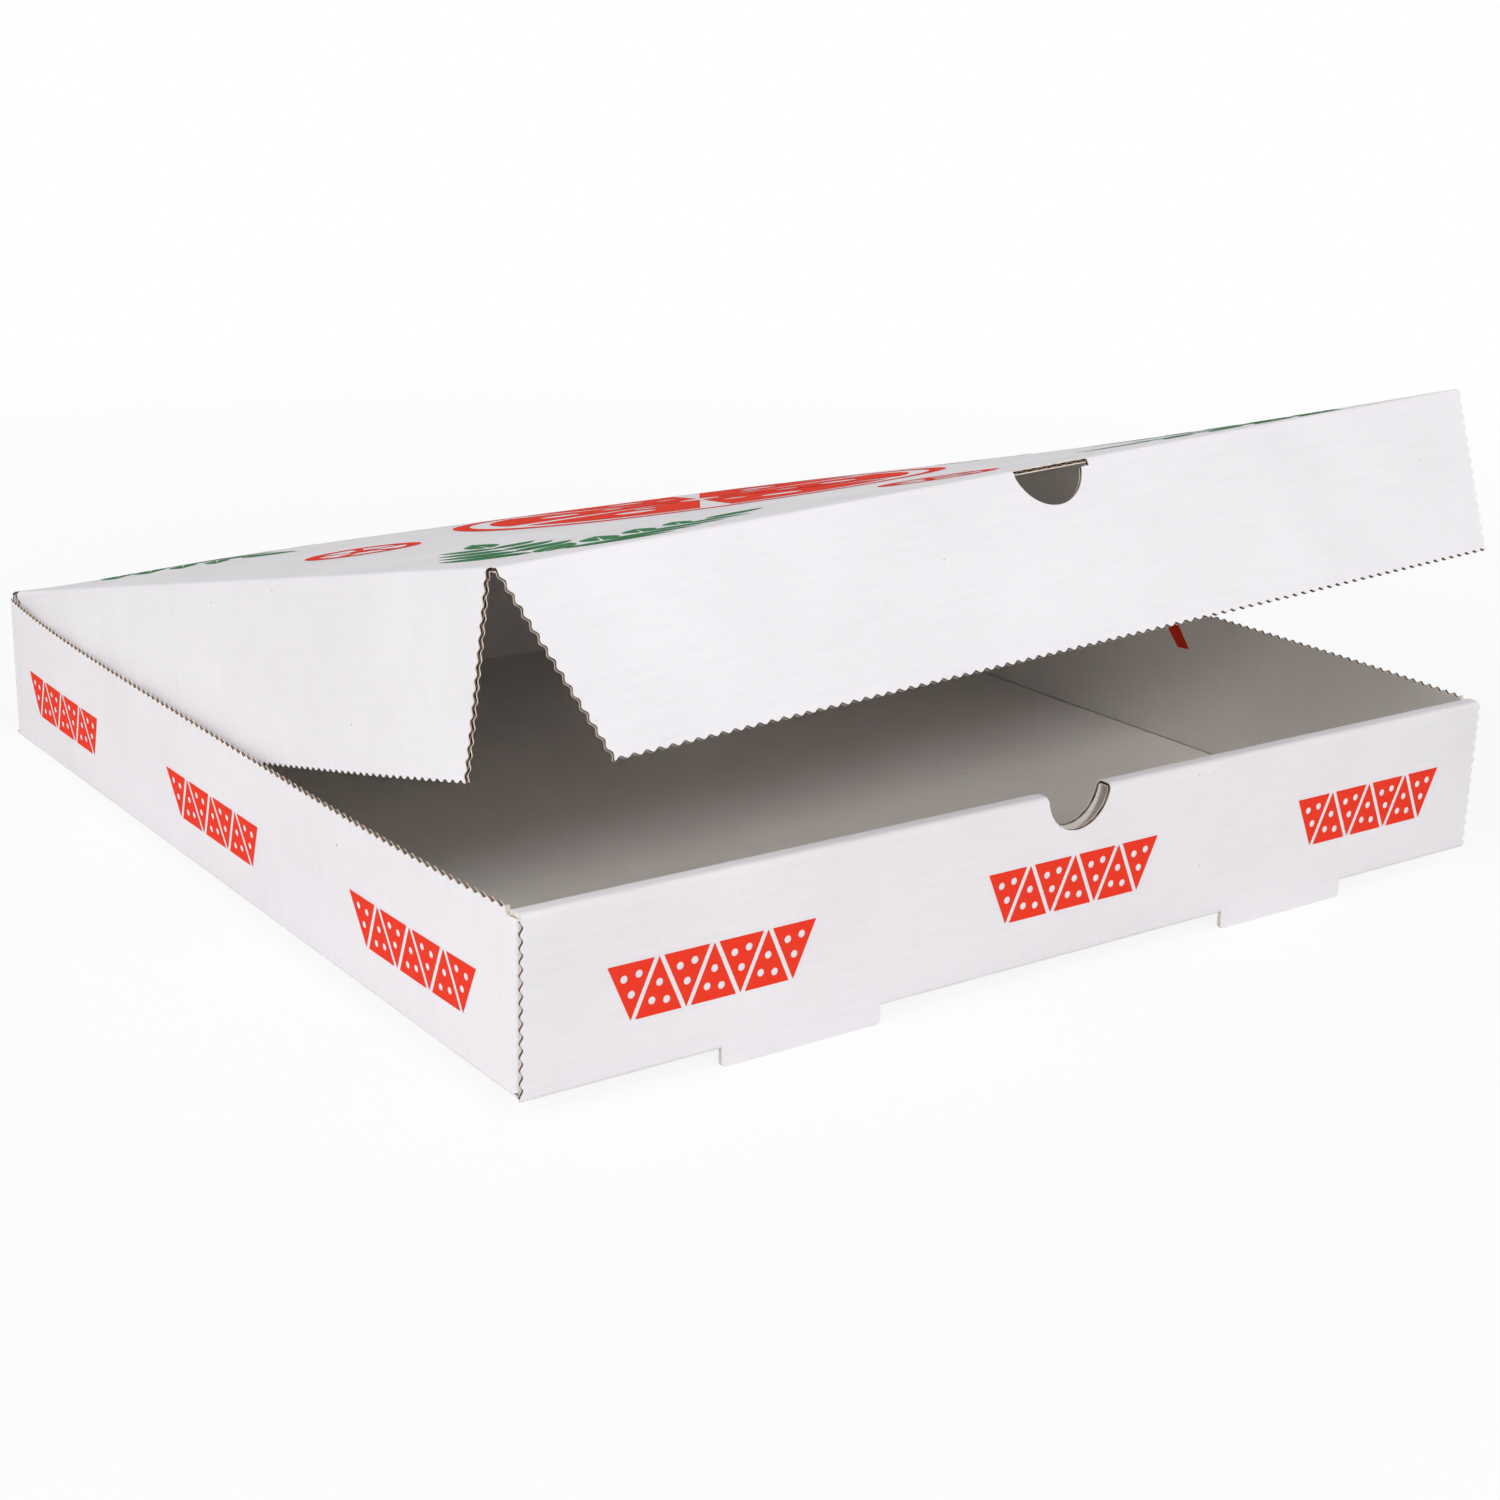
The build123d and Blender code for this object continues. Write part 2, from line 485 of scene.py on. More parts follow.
def place_side_foot(side):
    """The fold at the foot of a side wall, with the groove that its crease leaves on the inside."""
    def place(u, v, w):
        p, normal = side_foot_at(v)
        w = w + np.where(w < 0, side_groove * np.sin(math.pi * np.clip(v / side_foot_length, 0, 1)), 0)
        return np.stack([-side * (p[:, 0] + normal[:, 0] * w), u, p[:, 1] + normal[:, 1] * w], 1)
    return place


def lid_at(u, v):
    """Point and upward normal on the twisted, slightly swollen lid sheet."""
    t = ((u / lid_x + 1) / 2)[:, None]
    way = along_l * (1 - t) + along_r * t
    p = rear_l * (1 - t) + rear_r * t + way * v[:, None]
    over = unit(rear_r - rear_l + (along_r - along_l) * v[:, None])
    normal = unit(np.cross(way, over))
    s = np.clip(v / lid_len, 0, 1)
    swell = lid_swell * np.clip(1 - (u / lid_x) ** swell_power, 0, None) * swell_scale * s * (1 - s) ** 3
    return p + normal * swell[:, None], normal


def place_lid(u, v, w):
    p, normal = lid_at(u, v)
    return p + normal * w[:, None]


def place_front_flap(u, v, w):
    return front_mid + u[:, None] * across + v[:, None] * hang + w[:, None] * front_face


def lowered(p):
    """Where points of the lid go when it is let down as far as it turns."""
    out, rise = hinge_y - p[:, 1], p[:, 2] - hinge_z
    y = hinge_y - out * math.cos(lid_let_down) - rise * math.sin(lid_let_down)
    z = hinge_z + rise * math.cos(lid_let_down) - out * math.sin(lid_let_down)
    return np.stack([p[:, 0], y, z], 1)


def wall_room(side, p):
    """How far a side flap's points can lean out before they meet the side wall."""
    room = wall_bow[side] * wall_lean(p[:, 1], p[:, 2]) + side_flap_room
    return np.where(p[:, 2] < side_top, room, np.inf)


def side_fold(side):
    """A side fold of the lid: its rear end, its way to the front and the way its flap hangs."""
    way = along_l if side < 0 else along_r
    return np.array([side * lid_x, hinge_y, hinge_z]), way, np.array([0, -way[2], way[1]])


def place_side_flap(side):
    fold, way, below = side_fold(side)

    def place(u, v, w):
        p = fold + u[:, None] * way + v[:, None] * below
        over_wall = hinge_z + u * way[2] - side_top
        reach = np.clip(over_wall - crease_leg, side_flap_bend, side_flap_depth - crease_leg)
        lean = side_flap_lean * np.clip((v - crease_leg) / reach, 0, 1) * bow_along(p[:, 1])
        lean = np.minimum(lean, np.minimum(wall_room(side, p), wall_room(side, lowered(p))))
        return p + (w + lean)[:, None] * np.array([side, 0, 0])
    return place


# Tray

def notch_half(z):
    """Half the finger notch's width at a height, with its rounded shoulders."""
    drop = np.clip(roll_top - z, 0, notch_r)
    reach = math.sqrt((notch_r + notch_shoulder) ** 2 - notch_shoulder ** 2)
    plain = np.sqrt(np.clip(notch_r ** 2 - drop ** 2, 0, None))
    shoulder = reach - np.sqrt(np.clip(notch_shoulder ** 2 - (notch_shoulder - drop) ** 2, 0, None))
    meet = notch_shoulder * (1 - notch_shoulder / (notch_r + notch_shoulder))
    return np.where(drop < meet, shoulder, plain)


def notch_hole():
    """The finger notch as one hole through the outer board, the roll and the inner board."""
    low = front_v(roll_top - notch_r)
    high = inner_v(roll_top - notch_r)
    middle = (low + high) / 2
    turn = np.linspace(0, math.pi, notch_steps)
    lengths = middle - (high - low) / 2 * np.cos(turn)
    p, _ = front_at(lengths)
    reach = notch_half(p[:, 1])
    right = np.stack([notch_mid + reach, lengths], 1)
    left = np.stack([notch_mid - reach[-2:0:-1], lengths[-2:0:-1]], 1)
    points = np.vstack([right, left])[::-1]
    return points, np.full(len(points), CUT)


def front_outline():
    """Front wall in the flat, from the base fold over the roll to the lock tabs."""
    end = width / 2
    low_wall = front_v(half + fold_r)
    roll_low = front_bends[1][0]
    roll_high = front_bends[2][1]
    roll_step = roll_low + wave_depth / 2
    tab_near, tab_far = foot_x - tab_half, foot_x + tab_half
    low, lock = inner_v(inner_low), inner_v(tab_low)
    points = [
        (-roll_end, 0), (-foot_far, 0), (-foot_far, low_wall), (-foot_near, low_wall), (-foot_near, 0),
        (foot_near, 0), (foot_near, low_wall), (foot_far, low_wall), (foot_far, 0), (roll_end, 0),
        (end, low_wall), (end, roll_low), (roll_end, roll_step), (roll_end, roll_high),
        (inner_half, roll_high), (inner_half, low),
        (tab_far, low), (tab_far, lock), (tab_near, lock), (tab_near, low),
        (-tab_near, low), (-tab_near, lock), (-tab_far, lock), (-tab_far, low),
        (-inner_half, low), (-inner_half, roll_high),
        (-roll_end, roll_high), (-roll_end, roll_step), (-end, roll_low), (-end, low_wall),
    ]
    ends = ["crushed"] * 4
    kinds = ["join", "crushed"] * 4 + ["join", "cut", "wave"] + ends + ["cut"] * 9 + ends + ["wave", "cut"]
    return chain(points, kinds)


def add_feet(board):
    for side in (-1, 1):
        left, right = side * foot_x - foot_half, side * foot_x + foot_half
        top = half + fold_r
        outline = loop(
            run((right, top), (left, top), "join"),
            run((left, top), (left, foot_r - foot_drop), "crushed"),
            arc((left + foot_r, foot_r - foot_drop), foot_r, 180, 270, CRUSHED),
            run((left + foot_r, -foot_drop), (right - foot_r, -foot_drop), "cut"),
            arc((right - foot_r, foot_r - foot_drop), foot_r, 270, 360, CRUSHED),
            run((right, foot_r - foot_drop), (right, top), "crushed"),
        )
        add_panel(board, [outline], place_foot, 1)


def add_base(board):
    edge = depth / 2 - half - fold_r
    points = [
        (-edge, -edge),
        (-foot_far, -edge), (-foot_far, slot_back), (-foot_near, slot_back), (-foot_near, -edge),
        (foot_near, -edge), (foot_near, slot_back), (foot_far, slot_back), (foot_far, -edge),
        (edge, -edge), (edge, edge), (-edge, edge),
    ]
    kinds = ["join", "cut", "cut", "cut"] * 2 + ["join"] * 4
    add_panel(board, [chain(points, kinds)], place_base, 1)


def add_sides(board):
    start, end = side_bends[0][1], side_bends[1][0]
    low = half + fold_r
    points = [
        (0, flap_low), (side_bends[0][0], flap_low), (start, low), (end, low), (side_bends[1][1], flap_low),
        (side_length, flap_low), (side_length, flap_high), (end, flap_high), (end, side_top),
        (start + tuck_end + tuck_slant, side_top), (start + tuck_end, tuck_high), (0, tuck_high),
    ]
    kinds = ["cut", "cut", "join", "cut", "cut", "wave", "wave", "cut", "wave", "crushed", "crushed", "wave"]
    reach = side_foot_reach
    strip = [(-reach, 0), (reach, 0), (reach, side_foot_length), (-reach, side_foot_length)]
    for side in (-1, 1):
        columns = path_rows(side_bends, side_length)
        rows = spread(flap_low, side_top, cell / 2)
        add_panel(board, [chain(points, kinds)], place_side(side), 0, rows=rows, columns=columns)
        rows = path_rows(side_foot_bends, side_foot_length)
        foot = chain(strip, ["join", "cut", "join", "cut"])
        add_panel(board, [foot], place_side_foot(side), 0, rows=rows)


def add_back(board):
    end, top = back_end, back_length
    points = [(-end, 0), (end, 0), (end, wall_start), (end, top), (-end, top), (-end, wall_start)]
    kinds = ["join", "cut", "wave", "join", "wave", "cut"]
    rows = path_rows(back_bends, top)
    add_panel(board, [chain(points, kinds)], place_back, 1, rows=rows)


def build_tray(materials):
    board = Board()
    add_base(board)
    rows = path_rows(front_bends, front_length)
    outline, cut = front_outline()
    columns = np.unique(np.round(np.concatenate([outline[cut == JOIN, 0], roll_columns]), 4))
    add_panel(board, [(outline, cut), notch_hole()], place_front, 1, rows=rows, columns=columns)
    add_feet(board)
    add_sides(board)
    add_back(board)
    tray = board.piece("tray_board", materials)
    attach(tray, "tray")
    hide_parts("tray")


# Lid

def build_lid(materials):
    board = Board()
    side = lid_x - crease_leg
    front = lid_len - crease_leg
    points = [
        (-side, crease_leg), (side, crease_leg), (side, side_start), (side, side_end), (side, front),
        (hole_cut, front), (hole_cut, lid_len), (hole_left, lid_len), (hole_left, front), (-side, front),
        (-side, side_end), (-side, side_start),
    ]
    kinds = ["join", "cut", "join", "cut", "join", "cut", "cut", "cut", "join", "cut", "join", "cut"]
    add_panel(board, [chain(points, kinds)], place_lid, 1)
    lid = board.piece("lid_board", materials)
    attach(lid, "lid")
    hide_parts("lid_panel")


def build_front_flap(materials):
    board = Board()
    top = crease_leg
    hole_turn = math.degrees(hole_top)
    end, low = front_w / 2, front_w / 2 - front_slant
    low_l, low_r = (-low, front_flap_low_left), (low, front_flap_low_right)
    outline = loop(
        run((-end, top), (hole_left, top), "join"),
        arc((hole_mid, -hole_rise), hole_r, 180 - hole_turn, hole_turn),
        run((hole_right, top), (hole_cut, top), "cut"),
        run((hole_cut, top), (end, top), "join"),
        run((end, top), low_r, "wave"),
        run(low_r, low_l, "wave"),
        run(low_l, (-end, top), "wave"),
    )
    add_panel(board, [outline], place_front_flap, 1)
    flap = board.piece("front_flap_board", materials)
    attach(flap, "front_flap")
    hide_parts("lid_front_flap")


def build_side_flap(name, side, materials):
    board = Board()
    points = [
        (side_start, crease_leg), (side_end, crease_leg), (side_end - side_slant, side_flap_depth),
        (side_rear_low, side_flap_depth),
    ]
    add_panel(board, [chain(points, ["join", "wave", "wave", "wave"])], place_side_flap(side), 0)
    flap = board.piece(name + "_flap_board", materials)
    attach(flap, name + "_flap")
    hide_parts("lid_" + name + "_flap")


# Creases between panels that turn on each other

def add_crease(board, first, corner, last, out_a, out_b, flutes):
    """A rounded fold between two panels, along a line of corner points."""
    inner = corner - skin * (out_a + out_b) / (1 + (out_a * out_b).sum(1, keepdims=True))
    turns = np.linspace(0, 1, crease_points)
    outer = [first + skin * out_a]
    outer += [inner + 2 * skin * unit(out_a * (1 - t) + out_b * t) for t in turns]
    outer.append(last + skin * out_b)
    inside = [last - skin * out_b, inner, first - skin * out_a]
    n = len(corner)
    station = np.concatenate([[0], np.cumsum(np.linalg.norm(np.diff(corner, axis=0), axis=1))])
    for rows, slot in ((outer, OUTER), (inside, INNER)):
        step = np.concatenate([[0], np.cumsum([np.linalg.norm(b[0] - a[0]) for a, b in zip(rows, rows[1:])])])
        flat = np.vstack([np.stack([station, np.full(n, s)], 1) for s in step])
        i = np.arange(n - 1)
        first_quads = np.stack([i, i + 1, n + i + 1, n + i], 1)
        quads = np.vstack([first_quads + k * n for k in range(len(rows) - 1)])
        board.add(np.vstack(rows), flat if flutes == 0 else flat[:, ::-1], quads, slot)
    for end in (0, -1):
        across_outer = np.stack([row[end] for row in outer])
        across_inside = np.stack([row[end] for row in inside[::-1]])
        add_crease_end(board, across_outer, across_inside)


def add_crease_end(board, outer, inside):
    """The cut end of a fold: the edges of its two liners and the flute hollows between them, coloured dark as
    painted shade.
    """
    inner = inside[[0] + [1] * (len(outer) - 2) + [2]]
    share = liner / (2 * skin)
    bands = (outer, outer + (inner - outer) * share, inner + (outer - inner) * share, inside)
    for near, far, slot in zip(bands, bands[1:], (EDGE, HOLLOW_SHADE, EDGE)):
        ring = np.vstack([near, far[::-1]])
        board.add(ring, ring[:, :2], [list(range(len(ring)))], slot, False)


def fold_start_end(first, corner, last, out_a, out_b):
    """Points before and after a fold, square to it, between which the strip turns."""
    i = len(corner) // 2
    way = unit(last[i] - first[i])
    start = first[i] - skin * out_a[i]
    end = last[i] - skin * out_b[i]
    base = corner[i]
    return [tuple((base + way * ((p - base) @ way)) * MM) for p in (start, end)]


def build_crease(name, parts, flutes, materials):
    board = Board()
    for part in parts:
        add_crease(board, *part, flutes)
    crease = board.piece(name, materials)
    start, end = fold_start_end(*parts[0])
    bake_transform(crease)
    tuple(start)
    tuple(end)


def rear_crease():
    x = spread(-lid_x - half, lid_x + half, cell)
    corner = np.stack([x, np.full_like(x, hinge_y), np.full_like(x, hinge_z)], 1)
    first = corner - (0, 0, crease_leg)
    last, normal = lid_at(x, np.full_like(x, crease_leg))
    return first, corner, last, np.broadcast_to((0.0, 1.0, 0.0), corner.shape), normal


def front_crease(low, high):
    u = spread(low, high, cell)
    corner = front_mid + u[:, None] * across
    first, normal = lid_at(u * lid_x / (front_w / 2), np.full_like(u, lid_len - crease_leg))
    last = corner + crease_leg * hang
    return first, corner, last, normal, np.broadcast_to(front_face, corner.shape)


def side_crease(side):
    s = spread(side_start, side_end, cell)
    fold, way, below = side_fold(side)
    corner = fold + s[:, None] * way
    first, normal = lid_at(np.full_like(s, side * (lid_x - crease_leg)), s)
    last = corner + crease_leg * below
    return first, corner, last, normal, np.broadcast_to((float(side), 0.0, 0.0), corner.shape)


def build_creases(materials):
    build_crease("rear_crease", [rear_crease()], 1, materials)
    ends = [front_crease(-front_w / 2, hole_left), front_crease(hole_cut, front_w / 2)]
    build_crease("front_crease", ends, 1, materials)
    for name, side in (("left", -1), ("right", 1)):
        build_crease(name + "_crease", [side_crease(side)], 0, materials)


# Print: flat shapes as outlines with holes

least_disc = 16
disc_points_per_mm = 4
least_wedge = 4
wedge_step = 4


def pointing(angle):
    return np.array([math.cos(angle), math.sin(angle)])


def disc(centre, radius):
    count = max(least_disc, int(radius * disc_points_per_mm))
    angle = np.linspace(0, 2 * math.pi, count, endpoint=False)
    return np.array(centre) + radius * np.stack([np.cos(angle), np.sin(angle)], 1)


def wedge(centre, inner, outer, start, end):
    """A sector of a ring, in degrees."""
    angle = np.radians(np.linspace(start, end, max(least_wedge, int((end - start) / wedge_step))))
    ring = np.stack([np.cos(angle), np.sin(angle)], 1)
    return np.array(centre) + np.vstack([outer * ring, inner * ring[::-1]])


leaf_points = 15
leaf_fullness = 0.8
leaf_vein = 0.05


def leaf(root, angle, length, breadth):
    """Two halves of a pointed leaf with a bare vein between them."""
    t = np.linspace(0, 1, leaf_points)
    bow = breadth / 2 * np.sin(math.pi * t ** leaf_fullness)
    vein = leaf_vein * breadth * (1 - t)
    way = pointing(angle)
    left = np.array([-way[1], way[0]])
    halves = []
    for side in (1, -1):
        outside = np.outer(t * length, way) + np.outer(side * (bow + vein), left)
        inside = np.outer(t * length, way) + np.outer(side * vein, left)
        halves.append(np.array(root) + np.vstack([outside, inside[-2:0:-1]]))
    return [(shape, []) for shape in halves]


# Rows of slices: how many, the gap between them as a share of a slice, and the places and size of their spots
row_slices = 7
row_gap = 0.085
row_spots = ((-0.3, 0.74), (0.34, 0.78), (0.02, 0.45))
row_spot_r = 0.068


def slice_row(start, low, length, tall):
    """A row of slices that point down and up by turns, filling a block of the given length and height."""
    base = 2 * length / (row_slices + 1)
    reach = base / 2 - row_gap * base
    shapes = []
    for i in range(row_slices):
        middle = start + base * (i + 1) / 2
        tip, back = (low + tall, low) if i % 2 else (low, low + tall)
        body = [(middle - reach, back), (middle, tip), (middle + reach, back)]
        rise = (back - tip) / tall
        dots = [disc((middle + reach * a, tip + rise * tall * b), tall * row_spot_r) for a, b in row_spots]
        shapes.append((np.array(body), dots))
    return shapes


def print_on(name, shapes, place, body, material, face=1, step=cell / 2):
    """Lays printed shapes on a panel, just proud of its outer liner, or of its inner one where face is -1."""
    board = Board()
    for outline, holes in shapes:
        parts = [outline] + holes
        low, high = outline.min(0), outline.max(0)
        columns, rows = (spread(low[i], high[i], step) for i in range(2))
        flat, faces = fill(parts, columns, rows, step * print_clear)
        p = flat[faces]
        turn = np.cross(p[:, 1] - p[:, 0], p[:, 2] - p[:, 0])
        faces[turn < 0] = faces[turn < 0][:, ::-1]
        if is_mirrored(place, flat) != (face < 0):
            faces = faces[:, ::-1]
        board.add(lay(place, flat, face * (skin + print_lift)), flat, faces, 0)
    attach(board.piece(name, [material]), body)


# Wall prints: blocks of slices on each wall, and one bar on the right wall's inner face
wall_rows = 3
front_print_start = -139.1
front_print_step = 111.7
front_print_length = 60.6
front_print_low = 13.7
front_print_tall = 14.1
side_print_end = 141.5
side_print_step = 111.1
side_print_length = 62.0
side_print_low = 13.0
side_print_tall = 13.1
inner_bar = ((-42.4, 32.4), (-37.4, 32.0), (-25.2, 43.0), (-32.4, 43.0))


def wall_blocks(start, step, length, low, tall):
    return [shape for i in range(wall_rows) for shape in slice_row(start + i * step, low, length, tall)]


def build_wall_print(red):
    front_low = front_v(front_print_low)
    front = wall_blocks(front_print_start, front_print_step, front_print_length, front_low, front_print_tall)
    print_on("front_wall_print", front, place_front, "tray", red)
    print_on("back_wall_print", front, place_back, "tray", red)
    side_print_start = side_mid + side_print_end - side_print_length - (wall_rows - 1) * side_print_step
    side = wall_blocks(side_print_start, side_print_step, side_print_length, side_print_low, side_print_tall)
    print_on("left_wall_print", side, place_side(-1), "tray", red)
    print_on("right_wall_print", side, place_side(1), "tray", red)
    bar = np.array(inner_bar) + (side_mid, 0)
    print_on("inner_wall_print", [(bar, [])], place_side(1), "tray", red, face=-1)


# Lid print: a wheel of slices, small wheels round it and a spray of leaves in each corner
lid_centre = np.array([0.0, 158.0])
wheel_outer, wheel_inner = 74, 69
wheel_slices = 6
wheel_gap = 4
slice_start, slice_end = 6, 63
big_spot_at, big_spot_r = 42, 6
small_spot_at, small_spot_aside, small_spot_r = 26, 5, 3.5
small_wheels = 4
small_wheel_at, small_wheel_r = 112, 16
small_wheel_sectors = 5
sector_start, sector_end, sector_gap = 4, 12, 8
spray_at = 136
spray_parting = 0.45
leaf_turn = 0.75
stem_leaves = 4
stem_start, stem_step, stem_end = 8, 15, 64
middle_leaf_at = 5
middle_leaf, end_leaf, stem_leaf = (25, 9), (24, 8), (27, 10)
stem_leaf_less = (3, 1)


def lid_wheel(centre):
    """A round of slices in a ring."""
    turn = 360 // wheel_slices
    shapes = [(disc(centre, wheel_outer), [disc(centre, wheel_inner)])]
    for k in range(wheel_slices):
        way = pointing(math.radians(k * turn + turn / 2))
        aside = np.array([-way[1], way[0]])
        big = disc(centre + way * big_spot_at, big_spot_r)
        small = disc(centre + way * small_spot_at + small_spot_aside * aside, small_spot_r)
        body = wedge(centre, slice_start, slice_end, k * turn + wheel_gap, (k + 1) * turn - wheel_gap)
        shapes.append((body, [big, small]))
    return shapes


def small_wheel(centre):
    """A disc with a ring of bare sectors."""
    turn = 360 // small_wheel_sectors
    holes = [
        wedge(centre, sector_start, sector_end, k * turn + sector_gap, (k + 1) * turn - sector_gap)
        for k in range(small_wheel_sectors)
    ]
    return disc(centre, small_wheel_r), holes


def lid_spray(root, middle):
    """Two stems of leaf pairs that part from a corner, with one leaf between them."""
    shapes = leaf(root + pointing(middle) * middle_leaf_at, middle, *middle_leaf)
    for side in (-1, 1):
        stem = middle + side * spray_parting
        for k in range(stem_leaves):
            joint = root + pointing(stem) * (stem_start + stem_step * k)
            length, breadth = (full - less * k for full, less in zip(stem_leaf, stem_leaf_less))
            turns = (leaf_turn, -leaf_turn) if k else (leaf_turn * side,)
            for turn in turns:
                shapes += leaf(joint, stem + turn, length, breadth)
        shapes += leaf(root + pointing(stem) * stem_end, stem, *end_leaf)
    return shapes


def build_lid_print(red, green):
    reds = lid_wheel(lid_centre)
    greens = []
    for x_side in (-1, 1):
        for v_side in (-1, 1):
            root = lid_centre + (x_side * spray_at, v_side * spray_at)
            greens += lid_spray(root, math.atan2(-v_side, -x_side))
    for k in range(small_wheels):
        reds.append(small_wheel(lid_centre + pointing(math.radians(k * 360 / small_wheels)) * small_wheel_at))
    print_on("lid_red_print", reds, place_lid, "lid", red)
    print_on("lid_green_print", greens, place_lid, "lid", green)


# Materials

def srgb(r, g, b):
    """A colour written as seen on screen, 0 to 255."""
    def linear(c):
        c /= 255
        return c / 12.92 if c <= 0.04045 else ((c + 0.055) / 1.055) ** 2.4
    return linear(r), linear(g), linear(b), 1.0


def new_material(name):
    material = bpy.data.materials.new(name)
    material.use_nodes = True
    tree = material.node_tree
    return material, tree, tree.nodes["Principled BSDF"]


def feed(tree, socket, value):
    """Sets a socket to a value, or links it to another socket."""
    if isinstance(value, bpy.types.NodeSocket):
        tree.links.new(value, socket)
    else:
        socket.default_value = value


def make(tree, kind, **inputs):
    """Adds a node; each input goes by its name, or by i and its number."""
    node = tree.nodes.new(kind)
    for name, value in inputs.items():
        numbered = name[0] == "i" and name[1:].isdigit()
        feed(tree, node.inputs[int(name[1:])] if numbered else node.inputs[name], value)
    return node


def math_node(tree, operation, a, b=0.0, c=0.0):
    node = make(tree, "ShaderNodeMath", i0=a, i1=b, i2=c)
    node.operation = operation
    return node.outputs[0]


def blend_colour(tree, factor, a, b):
    node = tree.nodes.new("ShaderNodeMix")
    node.data_type = "RGBA"
    for socket, value in ((node.inputs[0], factor), (node.inputs[6], a), (node.inputs[7], b)):
        feed(tree, socket, value)
    return node.outputs[2]


def noise(tree, scale, detail, stretch=(1, 1, 1), source="Object"):
    place = make(tree, "ShaderNodeTexCoord").outputs[source]
    place = make(tree, "ShaderNodeMapping", Vector=place, Scale=stretch).outputs[0]
    return make(tree, "ShaderNodeTexNoise", Vector=place, Scale=scale, Detail=detail).outputs[0]


def pattern(tree, scale, detail, low, high, **how):
    """Noise as 0 to 1 between two of its levels."""
    value = noise(tree, scale, detail, **how)
    return make(tree, "ShaderNodeMapRange", Value=value, i1=low, i2=high).outputs[0]


def flute_wave(tree):
    """The flutes' rise and fall under the liner, 0 to 1, from the flat blank."""
    flat = make(tree, "ShaderNodeUVMap")
    flat.uv_map = "blank"
    split = make(tree, "ShaderNodeSeparateXYZ", Vector=flat.outputs[0])
    angle = math_node(tree, "MULTIPLY", split.outputs[1], 2 * math.pi / (flute_pitch * MM))
    return math_node(tree, "MULTIPLY_ADD", math_node(tree, "SINE", angle), 0.5, 0.5)


def dress(tree, shader, colour, roughness, specular, relief, strength, distance):
    """Gives a shader its colour, roughness, shine and fine relief."""
    bump = make(tree, "ShaderNodeBump", Height=relief, Strength=strength, Distance=distance)
    feed(tree, shader.inputs["Base Color"], colour)
    feed(tree, shader.inputs["Roughness"], roughness)
    feed(tree, shader.inputs["Specular IOR Level"], specular)
    feed(tree, shader.inputs["Normal"], bump.outputs[0])


# Patterns: a noise's scale, per metre, and its detail, with the two levels between which it counts
cloud_pattern = (28, 5, 0.35, 0.7)
fibre_pattern = (700, 3, 0.4, 0.75)
fibre_stretch = (1, 0.08, 1)
speck_pattern = (420, 2, 0.76, 0.82)
cover_pattern = (140, 6, 0.3, 0.8)
pore_pattern = (1800, 2, 0.62, 0.8)
cut_pattern = (700, 5, 0.3, 0.7)
grain_noise = (2600, 2)

# Shares of each pattern in tone, roughness and relief
cloud_share = 0.5
fibre_share = 0.3
flute_share = 0.06
cover_share = 0.6
pore_share = 0.5
cloud_roughness = 0.15
grain_share = 0.35

# Surfaces: how rough and shiny each is, and the strength of its relief with the relief's height in metres
ink_roughness = 0.8
kraft_roughness = 0.9
paper_specular = 0.3
matt_specular = 0.1
paper_relief = (0.5, 0.00005)
ink_relief = (0.3, 0.00003)
kraft_relief = (0.4, 0.00004)


def paper(name, colour, shade, speck, roughness, washboard):
    """Paper liner: cloudy tone, long fibres, a few specks and the flutes showing through as faint stripes."""
    material, tree, shader = new_material(name)
    clouds = pattern(tree, *cloud_pattern)
    fibres = pattern(tree, *fibre_pattern, stretch=fibre_stretch, source="UV")
    waves = flute_wave(tree)
    tone = math_node(tree, "MULTIPLY", clouds, cloud_share)
    tone = math_node(tree, "MULTIPLY_ADD", fibres, fibre_share, tone)
    tone = math_node(tree, "MULTIPLY_ADD", waves, flute_share, tone)
    base = blend_colour(tree, tone, colour, shade)
    base = blend_colour(tree, pattern(tree, *speck_pattern), base, speck)
    rough = math_node(tree, "MULTIPLY_ADD", clouds, cloud_roughness, roughness)
    grain = math_node(tree, "MULTIPLY", noise(tree, *grain_noise), grain_share)
    relief = math_node(tree, "MULTIPLY_ADD", waves, washboard, grain)
    dress(tree, shader, base, rough, paper_specular, relief, *paper_relief)
    return material


def ink(name, colour, shade):
    """Flat print on the board: slightly uneven cover with pores and a fine grain."""
    material, tree, shader = new_material(name)
    tone = math_node(tree, "MULTIPLY", pattern(tree, *cover_pattern), cover_share)
    tone = math_node(tree, "MULTIPLY_ADD", pattern(tree, *pore_pattern), pore_share, tone)
    base = blend_colour(tree, tone, colour, shade)
    dress(tree, shader, base, ink_roughness, matt_specular, noise(tree, *grain_noise), *ink_relief)
    return material


def kraft(name, colour, shade):
    """Raw cut paper: fibrous, matt and uneven."""
    material, tree, shader = new_material(name)
    fibres = pattern(tree, *cut_pattern)
    base = blend_colour(tree, fibres, colour, shade)
    dress(tree, shader, base, kraft_roughness, matt_specular, fibres, *kraft_relief)
    return material


# Stage

# Floor: its reach in metres, its gap below the box in millimetres, the noise in its tone, and the share of
# white that the camera sees near the box and far from it
floor_reach = 60.0
floor_gap = 0.1
floor_noise = (6, 3)
white_near, white_far = 0.3, 0.9
white_share_near, white_share_far = 0.88, 1.0


